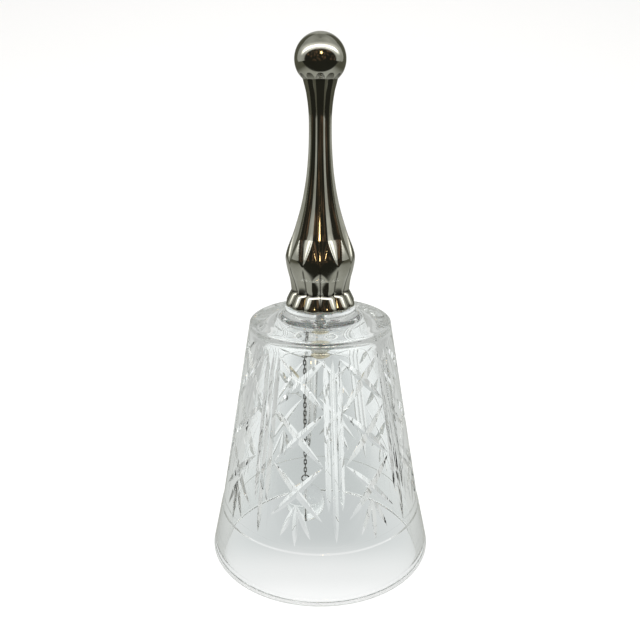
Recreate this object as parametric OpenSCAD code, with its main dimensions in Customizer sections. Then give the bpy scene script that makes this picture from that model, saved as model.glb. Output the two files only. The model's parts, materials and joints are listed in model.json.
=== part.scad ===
// Glass hand bell: a cut crystal bell with a plated metal handle.
// The rim rests on z = 0 and the axis of the bell is the Z axis.

/* [Glass bell] */
// Outer radius of the rim
rim_r = 39.6; // [34:0.2:48]
// Height of the plain band above the rim
band_h = 17.4; // [10:0.2:20]
// Outer radius at the top of the plain band
band_top_r = 36.1; // [32:0.1:44]
// How far the cut wall stands back from the band
ledge_in = 0.4; // [0.2:0.1:1]
// Outer radius of the shoulder
shoulder_r = 24; // [21:0.1:29]
// Height of the shoulder, where the wall starts to round over
shoulder_z = 85.6; // [76:0.2:103]
// Rise of the crown from the shoulder to the foot of the boss
crown_rise = 2.4; // [1.5:0.1:4]
// Height of the boss that the handle stands on
boss_h = 3.5; // [2:0.1:5]
// Wall thickness at the rim
rim_wall = 4.6; // [3:0.1:6]
// Wall thickness at the shoulder
shoulder_wall = 5.6; // [4:0.1:7]
// Thickness of the crown on the axis
crown_wall = 8; // [6:0.2:10]
// Radius of the rounded corner inside the crown
inner_corner_r = 5; // [3:0.5:7]
// Radius of the hole through the crown
crown_hole_r = 2.4; // [2.1:0.1:3.2]

/* [Cut pattern] */
// Number of panels round the bell
panels = 8; // [6:1:10]
// Direction of the first divider, in degrees from the front
first_divider = 8.7; // [0:0.1:45]
// Half the opening angle of every mitre cut
cut_half_angle = 48; // [40:1:55]
// Depth of the long middle cut of a divider
middle_depth = 0.8; // [0.4:0.1:1.2]
// Depth of the two side cuts of a divider
side_depth = 0.9; // [0.4:0.1:1.2]
// Distance from the middle cut to a side cut
side_gap = 2.3; // [1.8:0.1:3]
// Distance from the band up to the middle cuts
middle_low_gap = 3.6; // [2:0.2:12]
// Distance from the band up to the side cuts
side_low_gap = 13.6; // [4:0.2:20]
// Distance from the shoulder down to the long cuts
long_high_gap = 4.1; // [1:0.1:12]
// Distance from the band up to the middle of the lowest crossing
cross_low_gap = 20.6; // [16:0.2:26]
// Distance from the shoulder down to the middle of the highest crossing
cross_high_gap = 12.2; // [9:0.1:18]
// Number of crossings in each panel, one above the other
crossings = 3; // [2:1:3]
// Angle of a crossing cut from the upright
cross_lean = 43; // [35:1:50]
// Depth of a crossing cut in its middle
cross_depth = 1.15; // [0.6:0.05:1.4]

/* [Handle] */
// Number of flutes round the handle
flutes = 12; // [8:1:14]
// Height of the fluted body, from the collar to the middle of the ball
body_h = 72.7; // [60:0.1:90]
// Radius of the ball on top
ball_r = 8; // [7:0.1:10]
// Radius of the bulb at its widest
bulb_r = 11.4; // [10:0.1:14]
// Radius of the neck at its thinnest
neck_r = 3.72; // [3.4:0.02:5]
// Radius of the foot of the handle, on the collar
foot_r = 9.85; // [9:0.05:12]
// Depth of a flute as a share of the local radius
flute_share = 0.08; // [0.05:0.01:0.2]
// Depth of the grooves at the foot
foot_groove = 1.1; // [0.5:0.1:1.6]

/* [Collar] */
// Height of the collar under the handle
collar_h = 5.1; // [3.5:0.1:7]
// Radius of the collar at its upper edge
collar_top_r = 9.7; // [9:0.1:12]
// Radius of the collar at its lower edge
collar_low_r = 12.1; // [10.5:0.1:15]
// Depth of the notches between the lobes
lobe_depth = 0.9; // [0.4:0.1:1.4]

/* [Fixings] */
// Radius of the threaded stud
stud_r = 1.5; // [1.2:0.1:1.8]
// Length of stud that is screwed into the handle
stud_in_handle = 14; // [8:0.5:20]
// Radial clearance where the stud passes through without a thread
stud_clearance = 0.25; // [0.1:0.05:0.4]
// Thickness of the clear washer under the collar
top_washer_t = 0.5; // [0.3:0.1:1]
// How far the clear washer stands in from the edge of the collar
top_washer_in = 1.3; // [0.4:0.1:4]
// Thickness of the clear washer inside the crown
inner_washer_t = 0.8; // [0.5:0.1:1.5]
// Radius of the clear washer inside the crown
inner_washer_r = 4.6; // [3.8:0.1:6]
// Height of the cone between the inner washer and the ball nut
cone_h = 3.6; // [2:0.2:5]
// Radius of the wide end of the cone
cone_top_r = 3.6; // [3:0.1:4.2]
// Radius of the ball nut
nut_r = 3.3; // [2.8:0.1:4]
// Radius of the neck on the ball nut and of the narrow end of the cone
nut_neck_r = 2.3; // [2.1:0.1:2.7]

/* [Chain] */
// Number of links
links = 29; // [21:2:29]
// Radius of the wire of a link
link_wire_r = 0.18; // [0.14:0.01:0.2]
// Radius of the rounded ends of a link, at the middle of the wire
link_end_r = 0.42; // [0.4:0.01:0.6]
// Distance from one link to the next
link_pitch = 1.6; // [1.4:0.05:1.7]
// Clearance between pieces that hang on each other
hang_clearance = 0.03; // [0.02:0.01:0.06]
// Distance from the side of the ball nut to the hanging chain
chain_gap = 2.1; // [1.8:0.1:3.4]
// Radius of the wire of the eye on the ball nut
eye_wire_r = 0.25; // [0.2:0.01:0.3]
// Half the width of the eye on the ball nut
eye_half_w = 1.1; // [0.8:0.1:1.5]
// Radius of the ring above the chain, at the middle of the wire
top_ring_r = 0.85; // [0.7:0.05:1.2]
// Radius of the wire of the ring above the chain
top_ring_wire_r = 0.22; // [0.18:0.01:0.3]

/* [Clapper] */
// Radius of the ring under the chain, at the middle of the wire
ring_r = 1.3; // [1:0.1:1.8]
// Radius of the wire of the ring under the chain
ring_wire_r = 0.22; // [0.18:0.01:0.3]
// Radius of the eye of the clapper pin, at the middle of the wire
pin_eye_r = 0.7; // [0.6:0.05:1]
// Radius of the wire of the clapper pin
pin_wire_r = 0.25; // [0.2:0.01:0.3]
// Radius of the crystal ball of the clapper
clapper_r = 7; // [5.5:0.1:7.5]
// Radial clearance of the pin in the ball
pin_clearance = 0.05; // [0.02:0.01:0.1]

/* [Hidden] */
$fn = 96;
// Number of sides of thin wire
wire_sides = 32;
// How far a cutter runs past the face that it opens
past = 1;

// Heights, from the rim upwards
deck_z = shoulder_z + crown_rise;
crown_z = deck_z + boss_h;
ceiling_z = crown_z - crown_wall;
collar_z = crown_z + top_washer_t;
handle_z = collar_z + collar_h;
cone_top_z = ceiling_z - inner_washer_t;
nut_top_z = cone_top_z - cone_h;
nut_neck_h = 0.5;
nut_z = nut_top_z - nut_neck_h - sqrt(nut_r * nut_r - nut_neck_r * nut_neck_r);
stud_past_nut = 1.2;
stud_low_z = nut_z - stud_past_nut;
stud_high_z = handle_z + stud_in_handle;
eye_drop = 0.45;
eye_z = nut_z - eye_drop * nut_r;

// Chain: the middle of the wire at the top and bottom of each link
chain_offset = nut_r + chain_gap;
link_len = link_pitch + 2 * link_wire_r + hang_clearance;
link_straight = link_len - 2 * link_end_r;
top_ring_top = eye_z + eye_wire_r + top_ring_wire_r + hang_clearance;
top_ring_z = top_ring_top - top_ring_r;
first_link_top = top_ring_z - top_ring_r + top_ring_wire_r + link_wire_r + hang_clearance;
function link_top(i) = first_link_top - (i - 1) * link_pitch;
function link_name(i) = str("chain_link_", i < 10 ? "0" : "", i);
ring_top = link_top(links) - link_len + link_wire_r + ring_wire_r + hang_clearance;
ring_z = ring_top - ring_r;
pin_eye_top = ring_z - ring_r + ring_wire_r + pin_wire_r + hang_clearance;
pin_eye_z = pin_eye_top - pin_eye_r;
pin_stem = 0.6;
clapper_top = pin_eye_z - pin_eye_r - pin_stem;
clapper_z = clapper_top - clapper_r;
pin_head_t = 0.4;
pin_head_r = 0.7;

// Outline of the glass
lip_r = 1.2;
ledge_h = 1.2;
crown_power = 2.2;
seat_in = 0.3;
seat_r = collar_low_r - seat_in;
boss_foot_r = seat_r + boss_h;
arc_steps = 10;

// Outer radius of the cut wall at height z
function wall_slope() = (band_top_r - ledge_in - shoulder_r) / (shoulder_z - band_h - ledge_h);
function wall_r(z) = shoulder_r + (shoulder_z - z) * wall_slope();

// Points of the crown, from the shoulder in to the foot of the boss
function crown_arc() = [
    for (i = [0:arc_steps - 1])
        let (share = 1 - i / arc_steps, u = sin(90 * share))
            [
                boss_foot_r + (shoulder_r - boss_foot_r) * u,
                shoulder_z + crown_rise * pow(1 - pow(u, crown_power), 1 / crown_power)
            ]
];
// Points of a quarter circle about [x, y] between two directions
function corner(x, y, r, from, to) = [
    for (i = [0:arc_steps])
        let (a = from + (to - from) * i / arc_steps)
            [x + r * cos(a), y + r * sin(a)]
];

inner_rim_r = rim_r - rim_wall;
inner_top_r = shoulder_r - shoulder_wall;
// Direction in which the wall runs into the rounded corner
corner_from = 10;

module glass_blank() {
    outline = concat(
        [[0, 0], [rim_r - lip_r, 0]],
        corner(rim_r - lip_r, lip_r, lip_r, -90, 0),
        [[band_top_r, band_h], [wall_r(band_h + ledge_h), band_h + ledge_h]],
        crown_arc(),
        corner(boss_foot_r, crown_z, boss_h, 270, 180),
        [[0, crown_z]]
    );
    rotate_extrude(angle = 360)
        polygon(outline);
}

module glass_cavity() {
    outline = concat(
        [[0, -past], [inner_rim_r + lip_r, -past], [inner_rim_r + lip_r, 0]],
        corner(inner_rim_r + lip_r, lip_r, lip_r, 270, 180),
        [[inner_top_r, ceiling_z - inner_corner_r]],
        corner(inner_top_r - inner_corner_r, ceiling_z - inner_corner_r, inner_corner_r, corner_from, 90),
        [[0, ceiling_z]]
    );
    rotate_extrude(angle = 360)
        polygon(outline);
}

// Puts a cutter on the wall, with -Y outward and Z up along the wall
wall_lean = atan(wall_slope());
module on_wall(angle, z) {
    rotate([0, 0, angle])
        translate([0, -wall_r(z), z])
            rotate([-wall_lean, 0, 0])
                children();
}

// A straight mitre cut through the origin, along Z
cut_clear = 1.5;
module straight_cut(depth, length) {
    spread = (depth + cut_clear) * tan(cut_half_angle);
    linear_extrude(height = length, center = true)
        polygon([[0, depth], [-spread, -cut_clear], [spread, -cut_clear]]);
}

// A long cut up the wall, from low_z to just under the shoulder
long_high_z = shoulder_z - long_high_gap;
module long_cut(angle, offset, low_z, depth) {
    on_wall(angle, (low_z + long_high_z) / 2)
        translate([offset, 0, 0])
            straight_cut(depth, (long_high_z - low_z) / cos(wall_lean));
}

module divider(angle) {
    long_cut(angle, 0, band_h + middle_low_gap, middle_depth);
    for (side = [-1, 1])
        long_cut(angle, side * side_gap, band_h + side_low_gap, side_depth);
}

// Crossed cuts, one pair above the other
cross_run = 30;
cross_low_z = band_h + cross_low_gap;
cross_step = (shoulder_z - cross_high_gap - cross_low_z) / (crossings - 1);
module panel(angle) {
    for (i = [0:crossings - 1])
        for (side = [-1, 1])
            on_wall(angle, cross_low_z + i * cross_step)
                rotate([0, side * cross_lean, 0])
                    straight_cut(cross_depth, cross_run);
}

module glass_bell() {
    color("lightcyan", 0.4)
        difference() {
            glass_blank();
            glass_cavity();
            translate([0, 0, ceiling_z - past])
                cylinder(h = crown_wall + 2 * past, r = crown_hole_r);
            for (i = [0:panels - 1]) {
                divider(first_divider + i * 360 / panels);
                panel(first_divider + (i + 0.5) * 360 / panels);
            }
        }
}

// Handle: the outline in shares of the body height, with smooth steps between its points
function neck_to_bulb(share) = neck_r + share * (bulb_r - neck_r);
outline_end = 0.93;
handle_outline = [
    [0, foot_r],
    [0.05, foot_r * 1.045],
    [0.13, bulb_r],
    [0.17, bulb_r],
    [0.28, bulb_r * 0.76],
    [0.385, neck_to_bulb(0.35)],
    [0.5, neck_to_bulb(0.14)],
    [0.6, neck_to_bulb(0.04)],
    [0.7, neck_r],
    [0.79, neck_r * 1.03],
    [0.865, neck_r * 1.22],
    [0.915, neck_r * 1.47]
];
function slope_at(p, i) = (p[min(i + 1, len(p) - 1)][1] - p[max(i - 1, 0)][1])
    / (p[min(i + 1, len(p) - 1)][0] - p[max(i - 1, 0)][0]);
function smooth(p, x, i = 0) =
    i < len(p) - 2 && x > p[i + 1][0]
        ? smooth(p, x, i + 1)
        : let (w = p[i + 1][0] - p[i][0], t = (x - p[i][0]) / w)
            p[i][1] * (1 - 3 * t * t + 2 * t * t * t)
            + p[i + 1][1] * (3 * t * t - 2 * t * t * t)
            + slope_at(p, i) * w * (t - 2 * t * t + t * t * t)
            + slope_at(p, i + 1) * w * (t * t * t - t * t);
// Radius of the ball at a share of the body height
function ball_at(x) = let (d = (1 - x) * body_h) d < ball_r ? sqrt(ball_r * ball_r - d * d) : 0;
function handle_r(x) = max(smooth(handle_outline, min(x, outline_end)), ball_at(x));

// Flutes: half their width as a share of the spacing, and the depth across them
flute_low = 0.137;
flute_full = 0.25;
flute_arch = 0.91;
flute_high = 0.945;
flute_point = 0.7;
groove_high = 0.125;
groove_full = 0.067;
function flute_width(x) =
    x < flute_low || x > flute_high ? 0
    : x < flute_full ? pow((x - flute_low) / (flute_full - flute_low), flute_point)
    : x > flute_arch ? sqrt(1 - pow((x - flute_arch) / (flute_high - flute_arch), 2))
    : 1;
function groove_width(x) =
    x > groove_high ? 0 : min(1, (groove_high - x) / (groove_high - groove_full));
function scallop(t, width) = width <= 0 || abs(t) >= width ? 0 : width * (1 - pow(t / width, 2));
function vee(t, width) = width <= 0 || abs(t) >= width ? 0 : width - abs(t);
function handle_skin(x, t) = handle_r(x)
    - handle_r(x) * flute_share * scallop(t, flute_width(x))
    - foot_groove * (1 - x / groove_high) * vee(t, groove_width(x));

// A closed skin of rings: heights and a radius for each ring and direction
per_flute = 6;
samples = flutes * per_flute;
function turn(j) = 360 * j / samples;
// Where a direction lies between two ridges: 0 in the valley, 1 on the ridge
function between(j) = 1 - abs(j % per_flute - per_flute / 2) / (per_flute / 2);
module skin(rings) {
    count = len(rings);
    points = concat(
        [for (ring = rings) each [for (j = [0:samples - 1]) [
            ring[1][j] * cos(turn(j)),
            ring[1][j] * sin(turn(j)),
            ring[0]
        ]]],
        [[0, 0, rings[0][0]], [0, 0, rings[count - 1][0]]]
    );
    low = count * samples;
    faces = concat(
        [for (i = [0:count - 2]) each [for (j = [0:samples - 1]) each
            let (a = i * samples + j, b = i * samples + (j + 1) % samples)
                [[a, a + samples, b + samples], [a, b + samples, b]]
        ]],
        [for (j = [0:samples - 1]) [low, j, (j + 1) % samples]],
        [for (j = [0:samples - 1])
            [low + 1, (count - 1) * samples + (j + 1) % samples, (count - 1) * samples + j]]
    );
    polyhedron(points = points, faces = faces, convexity = 10);
}

body_steps = 34;
cap_steps = 8;
cap_angle = 85;
module handle_body() {
    levels = concat(
        [for (i = [0:body_steps]) i / body_steps],
        [for (i = [1:cap_steps]) 1 + ball_r / body_h * sin(cap_angle * i / cap_steps)]
    );
    skin([for (x = levels) [
        handle_z + x * body_h,
        [for (j = [0:samples - 1]) x > 1
            ? sqrt(ball_r * ball_r - pow((x - 1) * body_h, 2))
            : handle_skin(x, between(j))]
    ]]);
}

module handle() {
    color("silver")
        difference() {
            handle_body();
            translate([0, 0, handle_z - past])
                cylinder(h = stud_in_handle + past, r = stud_r);
        }
}

// Collar: its radius on a lobe at a share of its height, with both edges rounded
collar_steps = 8;
collar_flare = 1.15;
low_edge = 0.35;
low_edge_end = 0.25;
top_edge = 0.3;
top_edge_start = 0.8;
function collar_r(s) = collar_low_r + (collar_top_r - collar_low_r) * pow(s, collar_flare)
    - low_edge * pow(max(0, 1 - s / low_edge_end), 2)
    - top_edge * pow(max(0, s - top_edge_start) / (1 - top_edge_start), 2);

module handle_collar() {
    color("silver")
        difference() {
            skin([for (i = [0:collar_steps]) [
                collar_z + i / collar_steps * collar_h,
                [for (j = [0:samples - 1])
                    collar_r(i / collar_steps) - lobe_depth * pow(1 - between(j), 2)]
            ]]);
            translate([0, 0, collar_z - past])
                cylinder(h = collar_h + 2 * past, r = stud_r + stud_clearance);
        }
}

module stud() {
    color("gray")
        translate([0, 0, stud_low_z])
            cylinder(h = stud_high_z - stud_low_z, r = stud_r);
}

module washer(z, t, r) {
    translate([0, 0, z])
        difference() {
            cylinder(h = t, r = r);
            translate([0, 0, -past])
                cylinder(h = t + 2 * past, r = stud_r + stud_clearance);
        }
}

module top_washer() {
    color("white", 0.5)
        washer(crown_z, top_washer_t, collar_low_r - top_washer_in);
}

module inner_washer() {
    color("white", 0.5)
        washer(cone_top_z, inner_washer_t, inner_washer_r);
}

module neck_cone() {
    color("silver")
        translate([0, 0, nut_top_z])
            difference() {
                cylinder(h = cone_h, r1 = nut_neck_r, r2 = cone_top_r);
                translate([0, 0, -past])
                    cylinder(h = cone_h + 2 * past, r = stud_r + stud_clearance);
            }
}

// The two legs of the eye, which are set into holes in the side of the ball nut
eye_leg_gap = 0.24;
eye_leg = chain_offset - eye_half_w - stud_r - eye_leg_gap;
module eye_legs() {
    for (side = [-1, 1])
        translate([-chain_offset + eye_half_w, side * eye_half_w, eye_z])
            rotate([0, 90, 0])
                cylinder(h = eye_leg, r = eye_wire_r, $fn = wire_sides);
}

module ball_nut() {
    color("silver")
        difference() {
            union() {
                translate([0, 0, nut_z])
                    sphere(r = nut_r);
                translate([0, 0, nut_z])
                    cylinder(h = nut_top_z - nut_z, r = nut_neck_r);
            }
            translate([0, 0, nut_top_z])
                cylinder(h = nut_r, r = nut_r);
            translate([0, 0, stud_low_z])
                cylinder(h = nut_top_z - stud_low_z + past, r = stud_r);
            eye_legs();
        }
}

module nut_eye() {
    color("silver")
        union() {
            eye_legs();
            translate([-chain_offset + eye_half_w, 0, eye_z])
                rotate([0, 0, 90])
                    rotate_extrude(angle = 180)
                        translate([eye_half_w, 0])
                            circle(r = eye_wire_r, $fn = wire_sides);
        }
}

// An oval link that hangs down from the middle of its top wire at the origin
module link_shape() {
    for (end = [0, 1])
        translate([0, 0, -link_end_r - end * link_straight])
            rotate([90, end * 180, 0])
                rotate_extrude(angle = 180)
                    translate([link_end_r, 0])
                        circle(r = link_wire_r, $fn = wire_sides);
    for (side = [-1, 1])
        translate([side * link_end_r, 0, -link_end_r - link_straight])
            cylinder(h = link_straight, r = link_wire_r, $fn = wire_sides);
}

// Odd links stand edge on and even links face the front
module chain_link(i) {
    color("dimgray")
        translate([-chain_offset, 0, link_top(i)])
            rotate([0, 0, i % 2 == 1 ? 90 : 0])
                link_shape();
}

// A round ring of wire that faces the front
module ring(z, r, wire_r) {
    translate([-chain_offset, 0, z])
        rotate([90, 0, 0])
            rotate_extrude(angle = 360)
                translate([r, 0])
                    circle(r = wire_r, $fn = wire_sides);
}

module top_ring() {
    color("dimgray")
        ring(top_ring_z, top_ring_r, top_ring_wire_r);
}

module end_ring() {
    color("dimgray")
        ring(ring_z, ring_r, ring_wire_r);
}

module clapper_pin() {
    shank = pin_eye_z - pin_eye_r - (clapper_z - clapper_r) + pin_head_t;
    color("silver")
        translate([-chain_offset, 0, 0])
            union() {
                translate([0, 0, pin_eye_z])
                    rotate([90, 0, 90])
                        rotate_extrude(angle = 360)
                            translate([pin_eye_r, 0])
                                circle(r = pin_wire_r, $fn = wire_sides);
                translate([0, 0, pin_eye_z - pin_eye_r - shank])
                    cylinder(h = shank, r = pin_wire_r, $fn = wire_sides);
                translate([0, 0, pin_eye_z - pin_eye_r - shank])
                    cylinder(h = pin_head_t, r = pin_head_r);
            }
}

// The ball has a small ground flat round each end of its hole
flat_depth = 0.06;
flat_w = 4;
module clapper_ball() {
    drill = 2 * (clapper_r + past);
    color("lightcyan", 0.4)
        translate([-chain_offset, 0, clapper_z])
            difference() {
                sphere(r = clapper_r);
                cylinder(h = drill, r = pin_wire_r + pin_clearance, center = true, $fn = wire_sides);
                for (end = [-1, 1])
                    translate([0, 0, end * (clapper_r - flat_depth + past / 2)])
                        cube([flat_w, flat_w, past], center = true);
            }
}

glass_bell();
handle();
handle_collar();
stud();
top_washer();
inner_washer();
neck_cone();
ball_nut();
nut_eye();
for (i = [1:links]) chain_link(i);
top_ring();
end_ring();
clapper_pin();
clapper_ball();
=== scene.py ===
# %% [markdown]
# # A cut crystal hand bell
#
# A hand bell of cut crystal has few parts, but each asks for its own way of modelling: a turned
# and cut glass body, a fluted handle of plated metal, and a fine chain with a clapper. This
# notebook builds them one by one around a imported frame, which holds the true sizes and joints.

# %% Load the frame
import json
import math

import bmesh
import bpy
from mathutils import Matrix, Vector


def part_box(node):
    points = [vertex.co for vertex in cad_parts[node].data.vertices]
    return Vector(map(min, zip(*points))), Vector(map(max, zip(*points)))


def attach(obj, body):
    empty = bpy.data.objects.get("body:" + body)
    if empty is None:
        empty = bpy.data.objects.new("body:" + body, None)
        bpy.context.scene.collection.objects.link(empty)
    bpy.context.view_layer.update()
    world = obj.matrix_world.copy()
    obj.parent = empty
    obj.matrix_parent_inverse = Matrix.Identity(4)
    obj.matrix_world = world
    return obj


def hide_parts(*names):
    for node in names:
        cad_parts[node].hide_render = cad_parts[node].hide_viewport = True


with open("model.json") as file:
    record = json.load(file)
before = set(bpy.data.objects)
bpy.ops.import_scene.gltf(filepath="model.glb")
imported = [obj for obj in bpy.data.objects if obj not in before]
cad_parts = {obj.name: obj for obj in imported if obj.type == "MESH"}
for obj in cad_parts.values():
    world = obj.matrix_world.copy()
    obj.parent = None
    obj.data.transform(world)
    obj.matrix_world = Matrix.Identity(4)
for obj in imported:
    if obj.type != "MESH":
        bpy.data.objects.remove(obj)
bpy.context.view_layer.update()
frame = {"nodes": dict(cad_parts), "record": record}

MM = 0.001

# %% [markdown]
# ## The camera
#
# The bell is seen from close by and a little above the top of its handle, so the rim opens into a
# wide ellipse. A near camera with a moderate lens gives that strong perspective. Placing the
# camera first lets every later step be looked at from the right side.

# %% Camera
CAMERA_DISTANCE = 234.9 * MM
CAMERA_HEIGHT = 163.8 * MM
CAMERA_PITCH = math.radians(18.33)
CAMERA_LENS = 40.8


def add_camera():
    data = bpy.data.cameras.new("camera")
    data.lens = CAMERA_LENS
    data.sensor_width = 36
    data.clip_start = 0.01
    camera = bpy.data.objects.new("camera", data)
    camera.location = (-0.0001, -CAMERA_DISTANCE, CAMERA_HEIGHT)
    camera.rotation_euler = (math.radians(90) - CAMERA_PITCH, 0, 0)
    bpy.context.scene.collection.objects.link(camera)
    bpy.context.scene.camera = camera
    return camera


camera = add_camera()
print("camera at", [round(v, 4) for v in camera.location])

# %% [markdown]
# ## Small helpers
#
# Three things come back in every step: turning points and faces into an object, spinning an
# outline about the axis, and setting which edges stay crisp. A cut glass piece needs smooth
# shading on its turned faces and hard edges where the wheel bit, so edges are split by angle.

# %% Mesh helpers
def new_piece(name, points, faces, smooth_angle=30):
    mesh = bpy.data.meshes.new(name)
    mesh.from_pydata([tuple(p) for p in points], [], faces)
    mesh.validate()
    piece = bpy.data.objects.new(name, mesh)
    bpy.context.scene.collection.objects.link(piece)
    shade(piece, smooth_angle)
    return piece


def shade(piece, smooth_angle):
    piece.data.shade_smooth()
    piece.data.set_sharp_from_angle(angle=math.radians(smooth_angle))


def spin(outline, segments):
    """Points and faces of a closed outline of (radius, height) pairs, turned about Z."""
    points = []
    for j in range(segments):
        a = 2 * math.pi * j / segments
        points += [(r * math.sin(a), -r * math.cos(a), z) for r, z in outline]
    n = len(outline)
    faces = []
    for j in range(segments):
        here, there = j * n, (j + 1) % segments * n
        for i in range(n):
            k = (i + 1) % n
            faces.append((here + i, there + i, there + k, here + k))
    return points, faces


def ring_faces(rings, around):
    """Faces of a skin of rings with the same number of points, with a fan at both ends."""
    faces = []
    for i in range(rings - 1):
        for j in range(around):
            k = (j + 1) % around
            faces.append((i * around + j, i * around + k, (i + 1) * around + k, (i + 1) * around + j))
    low, high = rings * around, rings * around + 1
    for j in range(around):
        k = (j + 1) % around
        faces.append((low, k, j))
        faces.append((high, (rings - 1) * around + j, (rings - 1) * around + k))
    return faces


def arc(x, y, r, start, stop, steps):
    """Points of an arc about (x, y), from one direction to another in degrees."""
    return [
        (
            x + r * math.cos(math.radians(start + (stop - start) * i / steps)),
            y + r * math.sin(math.radians(start + (stop - start) * i / steps)),
        )
        for i in range(steps + 1)
    ]


def faces_outward(piece):
    """Turns every face so that it looks out of the solid."""
    bm = bmesh.new()
    bm.from_mesh(piece.data)
    bmesh.ops.recalc_face_normals(bm, faces=bm.faces)
    bm.to_mesh(piece.data)
    bm.free()


# %% [markdown]
# ## The glass blank
#
# Before it is cut, the bell is a thick turned shape: a flat polished rim with rounded lips, a
# plain flaring band, a small ledge, a straight wall, a rounded shoulder and a thick crown with a
# hole for the stud. A single closed outline, spun about the axis, gives both the outside and the
# inside in one watertight mesh, which glass needs so that light bends correctly on both faces.

# %% Sizes of the glass
glass_low, glass_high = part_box("glass_bell")
RIM_R = (glass_high[0] - glass_low[0]) / 2
CROWN_Z = glass_high[2]
BAND_H = 17.4 * MM
BAND_TOP_R = RIM_R - 3.5 * MM
LEDGE_IN = 0.4 * MM
LEDGE_H = 0.75 * MM
BOSS_H = 3.5 * MM
CROWN_RISE = 2.4 * MM
SHOULDER_Z = CROWN_Z - BOSS_H - CROWN_RISE
SHOULDER_R = 24 * MM
CROWN_POWER = 2.2
SEAT_R = 11.8 * MM
BOSS_FOOT_R = SEAT_R + BOSS_H
RIM_WALL = 4.6 * MM
SHOULDER_WALL = 5.6 * MM
CROWN_WALL = 8 * MM
CEILING_Z = CROWN_Z - CROWN_WALL
CORNER_R = 5 * MM
LIP_R = 1.2 * MM
HOLE_R = 2.4 * MM
SEGMENTS = 360
WALL_SLOPE = (BAND_TOP_R - LEDGE_IN - SHOULDER_R) / (SHOULDER_Z - BAND_H - LEDGE_H)
WALL_LEAN = math.atan(WALL_SLOPE)
print("rim radius", round(RIM_R / MM, 2), "crown height", round(CROWN_Z / MM, 2))


# %% Outline and blank
def wall_r(z):
    return SHOULDER_R + (SHOULDER_Z - z) * WALL_SLOPE


def line(start, stop, steps):
    return [
        (start[0] + (stop[0] - start[0]) * i / steps, start[1] + (stop[1] - start[1]) * i / steps)
        for i in range(1, steps)
    ]


def crown_arc(steps):
    """Over the rounded edge and across the deck, then up the hollow side of the boss."""
    points = []
    for i in range(steps):
        u = math.sin(math.pi / 2 * (1 - i / steps))
        r = BOSS_FOOT_R + (SHOULDER_R - BOSS_FOOT_R) * u
        points.append((r, SHOULDER_Z + CROWN_RISE * (1 - u**CROWN_POWER) ** (1 / CROWN_POWER)))
    return points + arc(BOSS_FOOT_R, CROWN_Z, BOSS_H, 270, 180, 12)


def ledge(steps):
    """The rounded step from the band in to the cut wall."""
    low = (BAND_TOP_R, BAND_H)
    high = (wall_r(BAND_H + LEDGE_H), BAND_H + LEDGE_H)
    points = []
    for i in range(steps + 1):
        t = i / steps
        s = 3 * t * t - 2 * t * t * t
        points.append((low[0] + (high[0] - low[0]) * s, low[1] + (high[1] - low[1]) * t))
    return points


def glass_outline():
    inner_rim_r = RIM_R - RIM_WALL
    inner_top_r = SHOULDER_R - SHOULDER_WALL
    outside = arc(RIM_R - LIP_R, LIP_R, LIP_R, -90, 0, 10)
    step = ledge(8)
    crown = crown_arc(28)
    outside += line(outside[-1], step[0], 12) + step + line(step[-1], crown[0], 40) + crown
    corner = arc(inner_top_r - CORNER_R, CEILING_Z - CORNER_R, CORNER_R, 90, 10, 14)
    lip = arc(inner_rim_r + LIP_R, LIP_R, LIP_R, 180, 270, 10)
    inside = [(HOLE_R, CROWN_Z), (HOLE_R, CEILING_Z)] + corner + line(corner[-1], lip[0], 40) + lip
    return outside + inside


glass = new_piece("cut_glass_body", *spin(glass_outline(), SEGMENTS))
faces_outward(glass)
print("blank:", len(glass.data.polygons), "faces")

# %% [markdown]
# ## The cut pattern
#
# A glass cutter holds the blank against a spinning wheel with a V-shaped rim. Each touch leaves a
# mitre cut: a groove with two flat sides, widest in its middle and pointed at both ends, like a
# leaf. The same thing works here: a V-shaped cutter with a depth that changes along its length is
# taken away from the blank with a Boolean. Real facets catch the light in a way that a bump map
# can't, and Blender's manifold solver makes hundreds of such cuts in seconds.

# %% Cutter shapes
PANELS = 8
PANEL_STEP = 2 * math.pi / PANELS
FIRST_DIVIDER = math.radians(8.7)
HALF_ANGLE = math.radians(48)
CLEAR = 1.0 * MM


def wall_frame(angle, z):
    """A point on the wall with its directions: outward, sideways, and up along the wall."""
    s, c = math.sin(angle), math.cos(angle)
    place = Vector((wall_r(z) * s, -wall_r(z) * c, z))
    out = Vector((s * math.cos(WALL_LEAN), -c * math.cos(WALL_LEAN), math.sin(WALL_LEAN)))
    side = Vector((c, s, 0))
    up = Vector((-s * math.sin(WALL_LEAN), c * math.sin(WALL_LEAN), math.cos(WALL_LEAN)))
    return place, out, side, up


def cutter(angle, z, lean, stations, offset=0.0):
    """A V-shaped cutter through a point of the wall. Stations are (distance along, depth)."""
    place, out, side, up = wall_frame(angle, z)
    along = up * math.cos(lean) + side * math.sin(lean)
    across = side * math.cos(lean) - up * math.sin(lean)
    points = []
    for s, depth in stations:
        base = place + side * offset + along * s
        spread = (depth + CLEAR) * math.tan(HALF_ANGLE)
        points.append(base - out * depth)
        points.append(base + out * CLEAR + across * spread)
        points.append(base + out * CLEAR - across * spread)
    faces = [(0, 1, 2)]
    for i in range(len(stations) - 1):
        a, b = 3 * i, 3 * (i + 1)
        faces += [(a, b, b + 1, a + 1), (a + 1, b + 1, b + 2, a + 2), (a + 2, b + 2, b, a)]
    last = 3 * (len(stations) - 1)
    faces.append((last, last + 2, last + 1))
    return points, faces


def leaf(length, depth, steps=24):
    """Stations of one touch of the wheel: deepest in the middle, gone at both ends."""
    half = length / 2 + 0.4 * MM
    sag = depth / (length / 2) ** 2
    stations = []
    for i in range(steps + 1):
        s = -half + 2 * half * i / steps
        stations.append((s, depth - sag * s * s))
    return stations


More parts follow.
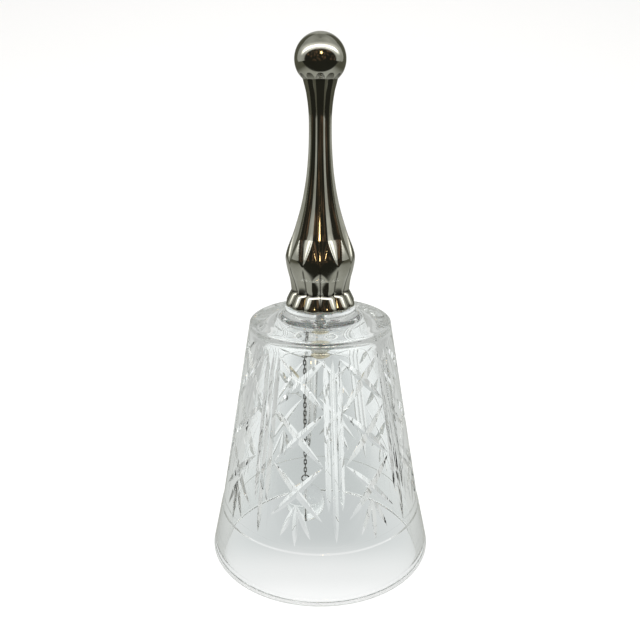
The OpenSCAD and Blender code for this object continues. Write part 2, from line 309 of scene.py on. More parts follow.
def long_cut(length, depth, run, steps=10):
    """Stations of a long straight cut that rises out of the glass over run at both ends."""
    ramp = [(1 - i / steps) for i in range(steps + 1)]
    head = [(-length / 2 + run * (1 - t), depth * (1 - t * t) - 0.05 * MM * t) for t in ramp]
    tail = [(-s, d) for s, d in reversed(head)]
    return head + tail


def straight(length, depth):
    return [(-length / 2, depth), (length / 2, depth)]


def take_away(piece, shapes, name):
    """Cuts a list of cutter shapes, which don't touch each other, out of a piece."""
    points, faces = [], []
    for shape_points, shape_faces in shapes:
        n = len(points)
        points += shape_points
        faces += [tuple(n + i for i in face) for face in shape_faces]
    tool = new_piece(name, points, faces)
    faces_outward(tool)
    modifier = piece.modifiers.new(name, "BOOLEAN")
    modifier.operation = "DIFFERENCE"
    modifier.solver = "MANIFOLD"
    modifier.object = tool
    graph = bpy.context.evaluated_depsgraph_get()
    cut = bpy.data.meshes.new_from_object(piece.evaluated_get(graph))
    piece.modifiers.clear()
    old = piece.data
    piece.data = cut
    bpy.data.meshes.remove(old)
    bpy.data.objects.remove(tool)
    print(name, len(shapes), "cuts, mesh now", len(cut.polygons), "faces")


# %% [markdown]
# Each of the eight panels has three crossings of two long cuts, one above the other, and a fan of
# three short leaves under the lowest. Between two panels stand three upright cuts: a long one with
# a wider one on each side. The wall curves away from a slanting straight cutter by itself, so the
# crossed cuts come out as leaves without any change of depth.

# %% Cut the panels and the dividers
CROSS_LOW_Z = 38 * MM
CROSS_HIGH_GAP = 12.2 * MM
CROSS_STEP = (SHOULDER_Z - CROSS_HIGH_GAP - CROSS_LOW_Z) / 2
CROSS_LENGTH = 28 * MM
CROSS_LEAN = math.radians(43)
CROSS_DEPTH = 1.15 * MM
FAN_TOP_Z = 34 * MM
FAN_LENGTH = 14.4 * MM
FAN_DEPTH = 0.9 * MM
FAN_SPREAD = math.radians(24)
LONG_TOP_Z = SHOULDER_Z - 4.1 * MM
MIDDLE_Z = (21 * MM, LONG_TOP_Z)
SIDE_Z = (31 * MM, LONG_TOP_Z)
MIDDLE_DEPTH = 0.8 * MM
SIDE_DEPTH = 0.9 * MM
SIDE_GAP = 2.3 * MM
RUN_OUT = 8 * MM
CUT_EDGE_ANGLE = 16


def upright(angle, offset, z_range, depth):
    low, high = z_range
    length = (high - low) / math.cos(WALL_LEAN)
    return cutter(angle, (low + high) / 2, 0, long_cut(length, depth, RUN_OUT), offset)


def panel_angles():
    return [FIRST_DIVIDER + (i + 0.5) * PANEL_STEP for i in range(PANELS)]


def divider_angles():
    return [FIRST_DIVIDER + i * PANEL_STEP for i in range(PANELS)]


for level in range(3):
    for side, word in ((-1, "left"), (1, "right")):
        z = CROSS_LOW_Z + level * CROSS_STEP
        shapes = [
            cutter(a, z, side * CROSS_LEAN, straight(CROSS_LENGTH, CROSS_DEPTH)) for a in panel_angles()
        ]
        take_away(glass, shapes, f"cross_{level}_{word}")
for side in (-1, 0, 1):
    stations = [(s - FAN_LENGTH / 2, d) for s, d in leaf(FAN_LENGTH, FAN_DEPTH)]
    shapes = [cutter(a, FAN_TOP_Z, side * FAN_SPREAD, stations) for a in panel_angles()]
    take_away(glass, shapes, f"fan_{side}")
for side in (-1, 1):
    shapes = [upright(a, side * SIDE_GAP, SIDE_Z, SIDE_DEPTH) for a in divider_angles()]
    take_away(glass, shapes, f"divider_side_{side}")
shapes = [upright(a, 0, MIDDLE_Z, MIDDLE_DEPTH) for a in divider_angles()]
take_away(glass, shapes, "divider_middle")
shade(glass, CUT_EDGE_ANGLE)
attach(glass, "bell")
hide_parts("glass_bell")

# %% [markdown]
# ## The fluted handle
#
# The handle is a polished casting: a ball, a slender neck and a bulb, with twelve hollow flutes
# running down it. They end in points at the widest part, where sharp grooves rise from the foot to
# meet them and leave diamond facets between. Such a form is easiest as a rule: a radius for every
# height and direction. A fine grid of rings then holds the thin ridges exactly, where a subdivided
# cage would soften them.

# %% Outline of the handle: knots as (share of the body's height, radius)
handle_low, handle_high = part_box("handle")
HANDLE_Z = handle_low[2]
BALL_R = 8 * MM
CAP_ANGLE = math.radians(85)
BODY_H = handle_high[2] - BALL_R * math.sin(CAP_ANGLE) - HANDLE_Z
FOOT_R = 9.85 * MM
BULB_R = 11.4 * MM
NECK_R = 3.72 * MM
FLUTES = 12
FLUTE_SHARE = 0.08
FOOT_GROOVE = 1.1 * MM


def between_neck_and_bulb(share):
    return NECK_R + share * (BULB_R - NECK_R)


HANDLE_OUTLINE = [
    (0, FOOT_R),
    (0.05, FOOT_R * 1.045),
    (0.13, BULB_R),
    (0.17, BULB_R),
    (0.28, BULB_R * 0.76),
    (0.385, between_neck_and_bulb(0.35)),
    (0.5, between_neck_and_bulb(0.14)),
    (0.6, between_neck_and_bulb(0.04)),
    (0.7, NECK_R),
    (0.79, NECK_R * 1.03),
    (0.865, NECK_R * 1.22),
    (0.915, NECK_R * 1.47),
]


def slope_at(knots, i):
    low, high = max(i - 1, 0), min(i + 1, len(knots) - 1)
    return (knots[high][1] - knots[low][1]) / (knots[high][0] - knots[low][0])


def smooth(knots, x):
    """A smooth curve through the knots."""
    i = 0
    while i < len(knots) - 2 and x > knots[i + 1][0]:
        i += 1
    (x0, y0), (x1, y1) = knots[i], knots[i + 1]
    w = x1 - x0
    t = (x - x0) / w
    bend = slope_at(knots, i) * w * (t - 2 * t**2 + t**3) + slope_at(knots, i + 1) * w * (t**3 - t**2)
    return y0 * (1 - 3 * t**2 + 2 * t**3) + y1 * (3 * t**2 - 2 * t**3) + bend


def handle_r(x):
    d = (1 - x) * BODY_H
    ball = math.sqrt(BALL_R**2 - d**2) if abs(d) < BALL_R else 0
    return max(smooth(HANDLE_OUTLINE, min(x, 0.93)), ball) if x < 1 else ball


print("handle from", round(HANDLE_Z / MM, 2), "mm, body", round(BODY_H / MM, 2), "mm high")

# %% [markdown]
# A flute is a shallow hollow between two ridges. Its width grows from a point on the bulb to the
# full pitch, and closes in a round arch under the ball. A groove does the opposite from the foot.
# A second rule marks the deep places, as a value on every point. There the colour is later
# darkened as painted shade, in the recesses and the seams between parts.

# %% Flutes and grooves
VALLEY_WIDTH, SEAM_SHARE = 0.16, 0.01
FLUTE_LOW, FLUTE_FULL, FLUTE_ARCH, FLUTE_HIGH = 0.137, 0.25, 0.91, 0.945
GROOVE_HIGH, GROOVE_FULL = 0.125, 0.067
PER_FLUTE = 24
AROUND = FLUTES * PER_FLUTE


def flute_width(x):
    if x < FLUTE_LOW or x > FLUTE_HIGH:
        return 0
    if x < FLUTE_FULL:
        return ((x - FLUTE_LOW) / (FLUTE_FULL - FLUTE_LOW)) ** 0.7
    if x > FLUTE_ARCH:
        return math.sqrt(max(0, 1 - ((x - FLUTE_ARCH) / (FLUTE_HIGH - FLUTE_ARCH)) ** 2))
    return 1


def groove_width(x):
    return 0 if x > GROOVE_HIGH else min(1, (GROOVE_HIGH - x) / (GROOVE_HIGH - GROOVE_FULL))


def across_flute(j):
    """0 in the middle of a flute, 1 on the ridge beside it."""
    k = j % PER_FLUTE
    return min(k, PER_FLUTE - k) / (PER_FLUTE / 2)


def handle_skin(x, t):
    r = handle_r(x)
    flute, groove = flute_width(x), groove_width(x)
    hollow = flute * (1 - (t / flute) ** 2) if flute > t else 0
    vee = groove - t if groove > t else 0
    return r - r * FLUTE_SHARE * hollow - FOOT_GROOVE * (1 - x / GROOVE_HIGH) * vee


def skin(name, levels):
    """A closed piece from (height, radius, crevice) levels, the last two functions of the step."""
    points, hollows = [], []
    for z, radius, crevice in levels:
        for j in range(AROUND):
            a = 2 * math.pi * j / AROUND
            r = radius(j)
            points.append((r * math.sin(a), -r * math.cos(a), z))
            hollows.append(crevice(j))
    points += [(0, 0, levels[0][0]), (0, 0, levels[-1][0])]
    piece = new_piece(name, points, ring_faces(len(levels), AROUND), 40)
    faces_outward(piece)
    mask = piece.data.attributes.new("crevice", "FLOAT", "POINT")
    mask.data.foreach_set("value", hollows + [0.0, 0.0])
    return piece


def handle_crevice(x, t):
    """1 in the deepest recesses, the arch tops and the seam at the foot, which get painted shade."""
    valley = max(0, 1 - t / VALLEY_WIDTH) * min(1, 4 * groove_width(x))
    seam = max(0, 1 - x / SEAM_SHARE)
    arch = (x - FLUTE_ARCH) / (FLUTE_HIGH - FLUTE_ARCH) if t < flute_width(x) else 0
    return min(1, max(valley, seam, arch, 0))


BODY_STEPS = 480
CAP_STEPS = 40
levels = []
for i in range(BODY_STEPS + 1):
    x = i / BODY_STEPS
    levels.append((
        HANDLE_Z + x * BODY_H,
        lambda j, x=x: handle_skin(x, across_flute(j)),
        lambda j, x=x: handle_crevice(x, across_flute(j)),
    ))
for i in range(1, CAP_STEPS + 1):
    rise = BALL_R * math.sin(CAP_ANGLE * i / CAP_STEPS)
    levels.append((
        HANDLE_Z + BODY_H + rise,
        lambda j, h=rise: math.sqrt(BALL_R**2 - h**2),
        lambda j: 0.0,
    ))
handle = skin("fluted_handle", levels)
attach(handle, "bell")
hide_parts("handle")
print("handle:", len(handle.data.polygons), "faces")

# %% [markdown]
# ## The lobed collar
#
# A flared ring of twelve rounded lobes spreads the load of the handle on the crown. It follows
# the same rule as the handle, so its notches meet the grooves above it.

# %% Collar
collar_low, collar_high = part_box("handle_collar")
COLLAR_Z = collar_low[2]
COLLAR_H = collar_high[2] - COLLAR_Z
COLLAR_LOW_R = 12.1 * MM
COLLAR_TOP_R = 9.7 * MM
LOBE_DEPTH = 0.9 * MM
COLLAR_EDGE = 0.35 * MM
COLLAR_TOP_EDGE = 0.3 * MM
COLLAR_CURVE = 1.15
COLLAR_STEPS = 48


def collar_r(s, t):
    """Radius at a share of the height: a hollow cone with rounded edges and lobes round it."""
    edge = COLLAR_EDGE * (1 - min(1, 4 * s)) ** 2
    top = COLLAR_TOP_EDGE * max(0, 5 * s - 4) ** 2
    lobe = LOBE_DEPTH * (1 - t) ** 2
    return COLLAR_LOW_R + (COLLAR_TOP_R - COLLAR_LOW_R) * s**COLLAR_CURVE - edge - top - lobe


def collar_crevice(s, t):
    """1 in the notches between the lobes and in the seam under the handle, which get painted shade."""
    return max(0, 1 - t / 0.14, 12 * s - 11)


levels = []
for i in range(COLLAR_STEPS + 1):
    s = i / COLLAR_STEPS
    levels.append((
        COLLAR_Z + s * COLLAR_H,
        lambda j, s=s: collar_r(s, across_flute(j)),
        lambda j, s=s: collar_crevice(s, across_flute(j)),
    ))
collar = skin("lobed_collar", levels)
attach(collar, "bell")
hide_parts("handle_collar")
print("collar:", len(collar.data.polygons), "faces")

# %% [markdown]
# ## Materials
#
# Polished metal and glass show their surroundings more than themselves, so most of their look
# comes from light. What is left is wear: faint haze from handling, and hairline scratches. One
# node group makes both for every finish, with its own scale and strength in each material.

# %% Wear group
def wear_group():
    group = bpy.data.node_groups.new("handling_wear", "ShaderNodeTree")
    for name, value in (("Scale", 120.0), ("Clean", 0.05), ("Hazy", 0.12)):
        socket = group.interface.new_socket(name, in_out="INPUT", socket_type="NodeSocketFloat")
        socket.default_value = value
    group.interface.new_socket("Haze", in_out="OUTPUT", socket_type="NodeSocketFloat")
    group.interface.new_socket("Roughness", in_out="OUTPUT", socket_type="NodeSocketFloat")
    group.interface.new_socket("Scratches", in_out="OUTPUT", socket_type="NodeSocketFloat")
    nodes, links = group.nodes, group.links
    inside = nodes.new("NodeGroupInput")
    outside = nodes.new("NodeGroupOutput")
    coords = nodes.new("ShaderNodeTexCoord")
    haze = nodes.new("ShaderNodeTexNoise")
    haze.inputs["Detail"].default_value = 5
    haze.inputs["Roughness"].default_value = 0.6
    links.new(coords.outputs["Object"], haze.inputs["Vector"])
    links.new(inside.outputs["Scale"], haze.inputs["Scale"])
    spread = nodes.new("ShaderNodeMapRange")
    spread.inputs["From Min"].default_value = 0.4
    spread.inputs["From Max"].default_value = 0.75
    links.new(haze.outputs["Fac"], spread.inputs["Value"])
    rough = nodes.new("ShaderNodeMapRange")
    links.new(spread.outputs["Result"], rough.inputs["Value"])
    links.new(inside.outputs["Clean"], rough.inputs["To Min"])
    links.new(inside.outputs["Hazy"], rough.inputs["To Max"])
    stretch = nodes.new("ShaderNodeMapping")
    stretch.inputs["Scale"].default_value = (9000, 9000, 300)
    stretch.inputs["Rotation"].default_value = (0.4, 0.3, 0)
    links.new(coords.outputs["Object"], stretch.inputs["Vector"])
    lines = nodes.new("ShaderNodeTexNoise")
    lines.inputs["Scale"].default_value = 1
    lines.inputs["Detail"].default_value = 3
    links.new(stretch.outputs["Vector"], lines.inputs["Vector"])
    links.new(spread.outputs["Result"], outside.inputs["Haze"])
    links.new(rough.outputs["Result"], outside.inputs["Roughness"])
    links.new(lines.outputs["Fac"], outside.inputs["Scratches"])
    return group


wear = wear_group()
print("wear group:", len(wear.nodes), "nodes")


def start_material(name, scale, clean, hazy):
    material = bpy.data.materials.new(name)
    material.use_nodes = True
    nodes, links = material.node_tree.nodes, material.node_tree.links
    shader = nodes["Principled BSDF"]
    use = nodes.new("ShaderNodeGroup")
    use.node_tree = wear
    use.inputs["Scale"].default_value = scale
    use.inputs["Clean"].default_value = clean
    use.inputs["Hazy"].default_value = hazy
    links.new(use.outputs["Roughness"], shader.inputs["Roughness"])
    return material, nodes, links, shader, use


def tint(nodes, links, use, shader, clean, hazy):
    """A colour that shifts a little where the surface is hazy."""
    ramp = nodes.new("ShaderNodeValToRGB")
    ramp.color_ramp.elements[0].color = (*clean, 1)
    ramp.color_ramp.elements[1].color = (*hazy, 1)
    links.new(use.outputs["Haze"], ramp.inputs["Fac"])
    links.new(ramp.outputs["Color"], shader.inputs["Base Color"])
    return ramp


def scratches(nodes, links, use, shader, strength, distance):
    bump = nodes.new("ShaderNodeBump")
    bump.inputs["Strength"].default_value = strength
    bump.inputs["Distance"].default_value = distance
    links.new(use.outputs["Scratches"], bump.inputs["Height"])
    links.new(bump.outputs["Normal"], shader.inputs["Normal"])
    return bump


# %% [markdown]
# ## The metals
#
# Silver plate is a metal with a slightly warm tint. It darkens a touch where it is hazy, and much
# more in the crevices that were marked on the mesh, where the dark is painted shade. The chain is
# the same metal gone dull and dark, because fine wire is never polished. One function makes all of them.

# %% Metals
# Painted shade: the dark colour that the crevice mask mixes into recesses and seams.
PAINTED_CREVICE_SHADE = (0.045, 0.04, 0.028, 1)


def metal(name, clean, hazy, rough_clean, rough_hazy, scale=120.0):
    material, nodes, links, shader, use = start_material(name, scale, rough_clean, rough_hazy)
    shader.inputs["Metallic"].default_value = 1
    ramp = tint(nodes, links, use, shader, clean, hazy)
    # The crevice mask mixes in painted shade, darkening the recesses and the seams between parts.
    mask = nodes.new("ShaderNodeAttribute")
    mask.attribute_name = "crevice"
    darken = nodes.new("ShaderNodeMix")
    darken.data_type = "RGBA"
    darken.inputs[7].default_value = PAINTED_CREVICE_SHADE
    links.new(mask.outputs["Fac"], darken.inputs["Factor"])
    links.new(ramp.outputs["Color"], darken.inputs[6])
    links.new(darken.outputs[2], shader.inputs["Base Color"])
    scratches(nodes, links, use, shader, 0.03, 0.00002)
    return material


silver_plate = metal("silver_plate", (0.63, 0.62, 0.555), (0.49, 0.48, 0.41), 0.06, 0.16)
nut_plate = metal("nut_plate", (0.90, 0.84, 0.68), (0.58, 0.50, 0.34), 0.05, 0.2, 300.0)
chain_wire = metal("chain_wire", (0.16, 0.155, 0.14), (0.07, 0.068, 0.06), 0.12, 0.28, 900.0)
stud_steel = metal("stud_steel", (0.55, 0.55, 0.54), (0.42, 0.41, 0.4), 0.18, 0.35, 400.0)


# %% [markdown]
# ## Crystal and washers
#
# Crystal is a dense clear glass. Its index of refraction is high, which gives the strong bright
# and dark edges of the cuts. A shadow ray passes through it as through clear air, so the bell
# doesn't cast the heavy shadow that a path tracer gives to glass without caustics. The washers
# are milky plastic, where a little scattering under the surface is enough.

# %% Crystal and milky plastic
def clear(name, clean, hazy, index, rough_clean, rough_hazy, scale=60.0):
    material, nodes, links, shader, use = start_material(name, scale, rough_clean, rough_hazy)
    shader.inputs["Metallic"].default_value = 0
    shader.inputs["Transmission Weight"].default_value = 1
    shader.inputs["IOR"].default_value = index
    tint(nodes, links, use, shader, clean, hazy)
    scratches(nodes, links, use, shader, 0.02, 0.00001)
    path = nodes.new("ShaderNodeLightPath")
    through = nodes.new("ShaderNodeBsdfTransparent")
    through.inputs["Color"].default_value = (0.9, 0.92, 0.92, 1)
    mix = nodes.new("ShaderNodeMixShader")
    links.new(path.outputs["Is Shadow Ray"], mix.inputs["Fac"])
    links.new(shader.outputs["BSDF"], mix.inputs[1])
    links.new(through.outputs["BSDF"], mix.inputs[2])
    links.new(mix.outputs["Shader"], nodes["Material Output"].inputs["Surface"])
    return material


def nylon(name, clean, hazy):
    """Milky plastic that lets some light through."""
    material, nodes, links, shader, use = start_material(name, 300.0, 0.3, 0.5)
    shader.inputs["Metallic"].default_value = 0
    shader.inputs["Subsurface Weight"].default_value = 0.4
    shader.inputs["Subsurface Scale"].default_value = 0.001
    tint(nodes, links, use, shader, clean, hazy)
    return material


crystal = clear("lead_crystal", (0.99, 1.0, 0.995), (0.97, 0.985, 0.98), 1.54, 0.0, 0.03)
clapper_glass = clear("clapper_crystal", (0.99, 1.0, 1.0), (0.97, 0.98, 0.98), 1.54, 0.0, 0.02)
milky_plastic = nylon("milky_washer", (0.56, 0.585, 0.585), (0.48, 0.50, 0.50))


def finish_piece(piece, material):
    if not piece.data.materials:
        piece.data.materials.append(material)
    for slot in piece.material_slots:
        slot.material = material


finish_piece(glass, crystal)
finish_piece(handle, silver_plate)
finish_piece(collar, silver_plate)
CAD_FINISHES = {
    "plated_silver": silver_plate,
    "chain_metal": chain_wire,
    "stud_steel": stud_steel,
    "clear_washer": milky_plastic,
    "clapper_crystal": clapper_glass,
}
for entry in frame["record"]["subparts"]:
    node = entry["node"]
    if entry["material_slot"] in CAD_FINISHES and node in frame["nodes"]:
        finish_piece(frame["nodes"][node], CAD_FINISHES[entry["material_slot"]])
finish_piece(frame["nodes"]["ball_nut"], nut_plate)
print("finished", len(frame["nodes"]), "nodes")

# %% [markdown]
# ## Floor and light
#
# The bell stands in a small light tent: a pale sweep of board that curves up behind it, white
# cloth all round, a bright panel overhead and an open front, through which the room is dark and
# warm. Metal and glass show nothing but their surroundings, so the tent is described direction
# by direction in the world. Light Path lets the board stay clean and white to the eye while
# reflections and refractions find the softer greys that give crystal its depth.

# %% Node shorthand
def math_node(nodes, links, operation, *values):
    node = nodes.new("ShaderNodeMath")
    node.operation = operation
    for socket, value in zip(node.inputs, values):
        if isinstance(value, (int, float)):
            socket.default_value = value
        else:
            links.new(value, socket)
    return node.outputs[0]


def fade(nodes, links, value, start, stop):
    """0 before start and 1 after stop, with a soft step between them."""
    node = nodes.new("ShaderNodeMapRange")
    node.interpolation_type = "SMOOTHSTEP"
    node.inputs["From Min"].default_value = start
    node.inputs["From Max"].default_value = stop
    links.new(value, node.inputs["Value"])
    return node.outputs["Result"]


def mix_colours(nodes, links, share, first, second):
    node = nodes.new("ShaderNodeMix")
    node.data_type = "RGBA"
    sockets = (node.inputs["Factor"], node.inputs[6], node.inputs[7])
    for socket, value in zip(sockets, (share, first, second)):
        if isinstance(value, (tuple, float)):
            socket.default_value = value
        else:
            links.new(value, socket)
    return node.outputs[2]


def noise_node(nodes, links, vector, scale, detail):
    node = nodes.new("ShaderNodeTexNoise")
    node.inputs["Scale"].default_value = scale
    node.inputs["Detail"].default_value = detail
    links.new(vector, node.inputs["Vector"])
    return node.outputs["Fac"]


# %% [markdown]
# The surroundings are a rule from a direction to a colour. In reflections there is cloth, darker
# behind the bell, an oval opening onto the dark room with a warm lamp in it, and a bright panel
# that arches over the opening. Through the glass the same places are paler, with two light strips
# at the sides, so that each facet of a cut picks up a different grey from the one beside it.

# %% Tent seen in reflections and through the glass
DEG = math.pi / 180
OPENING_HALF_WIDTH = 74 * DEG
OPENING_HALF_HEIGHT = 47 * DEG
OPENING_MIDDLE = -4 * DEG
PANEL_REACH = 1.75
PANEL_FULL = 1.3
PANEL_LOW, PANEL_HIGH = 8 * DEG, 42 * DEG
CORE_AT = 1.28
LAMP_AT = (5, 25)
LAMP_RADIUS = 6
STRIP_AT = 112 * DEG
MIRROR_SHARE = 0.5
CLOTH = (0.50, 0.51, 0.48, 1)
CLOTH_SHADE = (0.36, 0.37, 0.345, 1)
ROOM_DARK = (0.022, 0.022, 0.017, 1)
ROOM_WARM = (0.20, 0.125, 0.075, 1)
LAMP_WARM = (9.0, 6.2, 3.0, 1)
CLOTH_BACK = (0.24, 0.245, 0.22, 1)
BOARD = (0.44, 0.45, 0.42, 1)
BOARD_SIDE = (0.11, 0.11, 0.085, 1)
PANEL = (1.25, 1.25, 1.2, 1)
PANEL_CORE = (5.5, 5.5, 5.3, 1)
GLASS_CLOTH = (0.66, 0.70, 0.71, 1)
GLASS_TOP = (0.97, 0.99, 0.99, 1)
GLASS_FRONT = (0.66, 0.685, 0.69, 1)
GLASS_STRIP = (1.25, 1.26, 1.26, 1)
GLASS_PANEL = (1.35, 1.36, 1.36, 1)
TABLE_EDGE = (1.02, 1.02, 1.02, 1)
TABLE_NEAR = (0.87, 0.875, 0.875, 1)
TABLE_FAR = (0.61, 0.635, 0.635, 1)
TABLE_SIDE = (0.97, 0.99, 0.99, 1)
WHITE = (1.0, 1.0, 1.0, 1)


def direction(nodes, links, vector):
    """How far a direction is from straight ahead, and how far above the horizon."""
    split = nodes.new("ShaderNodeSeparateXYZ")
    links.new(vector, split.inputs[0])
    towards = math_node(nodes, links, "MULTIPLY", split.outputs["Y"], -1.0)
    azimuth = math_node(nodes, links, "ARCTAN2", split.outputs["X"], towards)
    return azimuth, math_node(nodes, links, "ARCSINE", split.outputs["Z"])


def spot(nodes, links, azimuth, height, at, radius):
    """A soft round patch of light in one direction."""
    across = math_node(nodes, links, "SUBTRACT", azimuth, at[0] * DEG)
    above = math_node(nodes, links, "SUBTRACT", height, at[1] * DEG)
    flat = math_node(nodes, links, "POWER", across, 2.0)
    both = math_node(nodes, links, "MULTIPLY_ADD", above, above, flat)
    far = math_node(nodes, links, "SQRT", both)
    return fade(nodes, links, far, radius * DEG, radius * DEG * 0.4)


def through_glass(nodes, links, path):
    """1 for a ray that comes straight through glass, less if a mirror turned it on its way."""
    turned = math_node(nodes, links, "MINIMUM", path.outputs["Glossy Depth"], 1.0)
    kept = math_node(nodes, links, "MULTIPLY_ADD", turned, -MIRROR_SHARE, 1.0)
    return math_node(nodes, links, "MULTIPLY", path.outputs["Is Transmission Ray"], kept)


def set_world():
    world = bpy.data.worlds.new("light_tent")
    world.use_nodes = True
    bpy.context.scene.world = world
    nodes, links = world.node_tree.nodes, world.node_tree.links
    coords = nodes.new("ShaderNodeTexCoord").outputs["Generated"]
    azimuth, height = direction(nodes, links, coords)
    aside = math_node(nodes, links, "ABSOLUTE", azimuth)
    wide = math_node(nodes, links, "DIVIDE", aside, OPENING_HALF_WIDTH)
    tall = math_node(nodes, links, "SUBTRACT", height, OPENING_MIDDLE)
    tall = math_node(nodes, links, "DIVIDE", tall, OPENING_HALF_HEIGHT)
    wide = math_node(nodes, links, "POWER", wide, 2.0)
    out = math_node(nodes, links, "SQRT", math_node(nodes, links, "MULTIPLY_ADD", tall, tall, wide))
    opening = fade(nodes, links, out, 1.06, 0.96)
    halo = math_node(nodes, links, "SUBTRACT", fade(nodes, links, out, PANEL_REACH, PANEL_FULL), opening)
    raised = fade(nodes, links, height, PANEL_LOW, PANEL_HIGH)
    panel = math_node(nodes, links, "MULTIPLY", halo, raised)
    folds = noise_node(nodes, links, coords, 1.3, 2)
    cloth = mix_colours(nodes, links, fade(nodes, links, folds, 0.3, 0.7), CLOTH_SHADE, CLOTH)
    behind = fade(nodes, links, aside, 120 * DEG, 178 * DEG)
    cloth = mix_colours(nodes, links, behind, cloth, CLOTH_BACK)
    clutter = noise_node(nodes, links, coords, 5.5, 3)
    room = mix_colours(nodes, links, fade(nodes, links, clutter, 0.5, 0.72), ROOM_DARK, ROOM_WARM)
    lamp = spot(nodes, links, azimuth, height, LAMP_AT, LAMP_RADIUS)
    room = mix_colours(nodes, links, lamp, room, LAMP_WARM)
    mirror = mix_colours(nodes, links, opening, cloth, room)
    mirror = mix_colours(nodes, links, panel, mirror, PANEL)
    core = math_node(nodes, links, "ABSOLUTE", math_node(nodes, links, "SUBTRACT", out, CORE_AT))
    core = math_node(nodes, links, "MULTIPLY", fade(nodes, links, core, 0.12, 0.03), panel)
    mirror = mix_colours(nodes, links, core, mirror, PANEL_CORE)
    rise = fade(nodes, links, height, 15 * DEG, 60 * DEG)
    strip_off = math_node(nodes, links, "SUBTRACT", aside, STRIP_AT)
    clear_side = mix_colours(nodes, links, rise, GLASS_CLOTH, GLASS_TOP)
    strip = fade(nodes, links, math_node(nodes, links, "ABSOLUTE", strip_off), 9 * DEG, 5 * DEG)
    clear_side = mix_colours(nodes, links, strip, clear_side, GLASS_STRIP)
    clear_side = mix_colours(nodes, links, opening, clear_side, GLASS_FRONT)
    clear_side = mix_colours(nodes, links, panel, clear_side, GLASS_PANEL)
    path = nodes.new("ShaderNodeLightPath")
    seen = mix_colours(nodes, links, through_glass(nodes, links, path), mirror, clear_side)
    seen = mix_colours(nodes, links, path.outputs["Is Camera Ray"], seen, WHITE)
    links.new(seen, nodes["Background"].inputs["Color"])


set_world()
print("tent:", len(bpy.context.scene.world.node_tree.nodes), "nodes")

# %% [markdown]
# ## The board and the lamp
#
# The board is a flat sheet that curves up behind the bell. The eye sees it white with a faint
# shadow. Through the glass it is light close to the front of the rim and grey further back, with
# light sides, which gives the long soft gradient of the plain band. An area lamp overhead adds
# only diffuse light, because the tent already holds what is reflected.

# %% Sweep
TABLE_FRONT = 105 * MM
FRONT_FADE = 25 * MM
BESIDE = (8 * MM, 75 * MM)
ABOVE = (20 * MM, 300 * MM)
SIDES_IN_MIRROR = (120 * MM, 450 * MM)
EDGE_FADE = (-36 * MM, -20 * MM)
DEPTH_FADE = (-22 * MM, 2 * MM)
CLEAN_SHARE = 0.7


def add_sweep():
    depth, back, radius, width, high = 1.2, 0.6, 0.35, 1.6, 1.6
    outline = [(-depth, 0), (back, 0)]
    for i in range(1, 25):
        a = math.radians(90) * i / 24
        outline.append((back + radius * math.sin(a), radius * (1 - math.cos(a))))
    outline.append((back + radius, high))
    points, faces = [], []
    for y, z in outline:
        points += [(-width, y, z), (width, y, z)]
    for i in range(len(outline) - 1):
        faces.append((2 * i, 2 * i + 1, 2 * i + 3, 2 * i + 2))
    return new_piece("sweep", points, faces, 60)


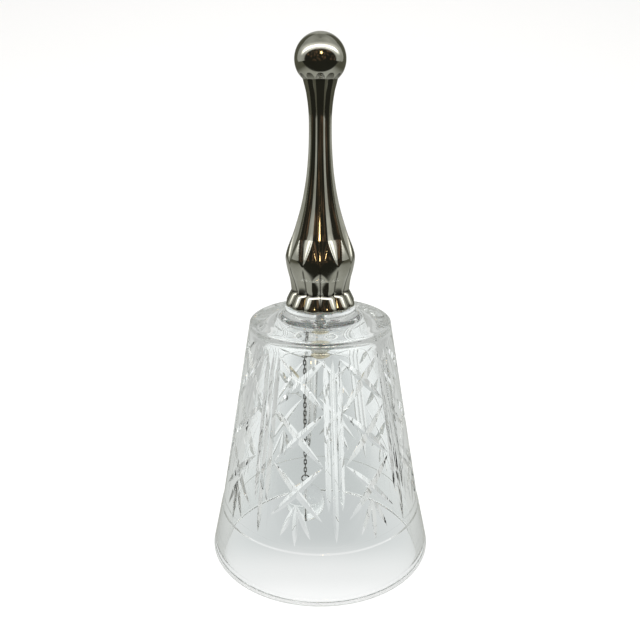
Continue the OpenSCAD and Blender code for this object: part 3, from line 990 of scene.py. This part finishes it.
def sweep_material():
    """White to the eye with a faint shadow, grey in metal and in glass, dark past its front."""
    material = bpy.data.materials.new("pale_board")
    material.use_nodes = True
    nodes, links = material.node_tree.nodes, material.node_tree.links
    board = nodes["Principled BSDF"]
    board.inputs["Roughness"].default_value = 0.8
    coords = nodes.new("ShaderNodeTexCoord").outputs["Object"]
    grain = noise_node(nodes, links, coords, 900, 2)
    paper = mix_colours(nodes, links, grain, (0.88, 0.88, 0.88, 1), (0.92, 0.92, 0.92, 1))
    links.new(paper, board.inputs["Base Color"])
    split = nodes.new("ShaderNodeSeparateXYZ")
    links.new(coords, split.inputs[0])
    past_front = fade(nodes, links, split.outputs["Y"], -TABLE_FRONT, -TABLE_FRONT - FRONT_FADE)
    path = nodes.new("ShaderNodeLightPath")
    sideways = math_node(nodes, links, "ABSOLUTE", split.outputs["X"])
    far_side = fade(nodes, links, sideways, *SIDES_IN_MIRROR)
    mirror = mix_colours(nodes, links, far_side, BOARD, BOARD_SIDE)
    mirror = mix_colours(nodes, links, past_front, mirror, ROOM_DARK)
    edge = fade(nodes, links, split.outputs["Y"], *EDGE_FADE)
    under_bell = mix_colours(nodes, links, edge, TABLE_EDGE, TABLE_NEAR)
    along = fade(nodes, links, split.outputs["Y"], *DEPTH_FADE)
    under_bell = mix_colours(nodes, links, along, under_bell, TABLE_FAR)
    beside = fade(nodes, links, sideways, *BESIDE)
    above = fade(nodes, links, split.outputs["Z"], *ABOVE)
    off = math_node(nodes, links, "MAXIMUM", beside, above)
    through = mix_colours(nodes, links, off, under_bell, TABLE_SIDE)
    through = mix_colours(nodes, links, past_front, through, GLASS_FRONT)
    seen = mix_colours(nodes, links, through_glass(nodes, links, path), mirror, through)
    # Painted light: the board glows here, brighter close to the front of the rim and greyer further
    # back, as seen in metal and through the glass.
    glow = nodes.new("ShaderNodeEmission")
    links.new(seen, glow.inputs["Color"])
    clean = nodes.new("ShaderNodeEmission")
    clean.inputs["Color"].default_value = WHITE
    lit = nodes.new("ShaderNodeMixShader")
    lit.inputs["Fac"].default_value = CLEAN_SHARE
    links.new(board.outputs["BSDF"], lit.inputs[1])
    links.new(clean.outputs["Emission"], lit.inputs[2])
    mix = nodes.new("ShaderNodeMixShader")
    links.new(path.outputs["Is Camera Ray"], mix.inputs["Fac"])
    links.new(glow.outputs["Emission"], mix.inputs[1])
    links.new(lit.outputs["Shader"], mix.inputs[2])
    links.new(mix.outputs["Shader"], nodes["Material Output"].inputs["Surface"])
    return material


sweep = add_sweep()
finish_piece(sweep, sweep_material())
print("sweep:", len(sweep.data.polygons), "faces")


# %% Lamp
def area_light(name, place, target, size, power):
    data = bpy.data.lights.new(name, "AREA")
    data.shape = "RECTANGLE"
    data.size, data.size_y = size
    data.energy = power
    lamp = bpy.data.objects.new(name, data)
    lamp.location = place
    aim = Vector(target) - Vector(place)
    lamp.rotation_euler = aim.to_track_quat("-Z", "Y").to_euler()
    lamp.visible_glossy = False
    lamp.visible_transmission = False
    bpy.context.scene.collection.objects.link(lamp)
    return lamp


MIDDLE = (0, 0, 0.09)
lamp = area_light("overhead_panel", (0, -0.1, 1.0), MIDDLE, (1.2, 1.2), 14)
print("lamp:", lamp.data.energy, "W")

# %% [markdown]
# Light bends many times in cut glass, so the paths need more bounces than usual. The plain
# Standard view keeps the white board white.

# %% View and bounces
scene = bpy.context.scene
scene.view_settings.view_transform = "Standard"
scene.cycles.use_denoising = True
scene.cycles.max_bounces = 24
scene.cycles.transmission_bounces = 20
scene.cycles.glossy_bounces = 12
scene.cycles.transparent_max_bounces = 24
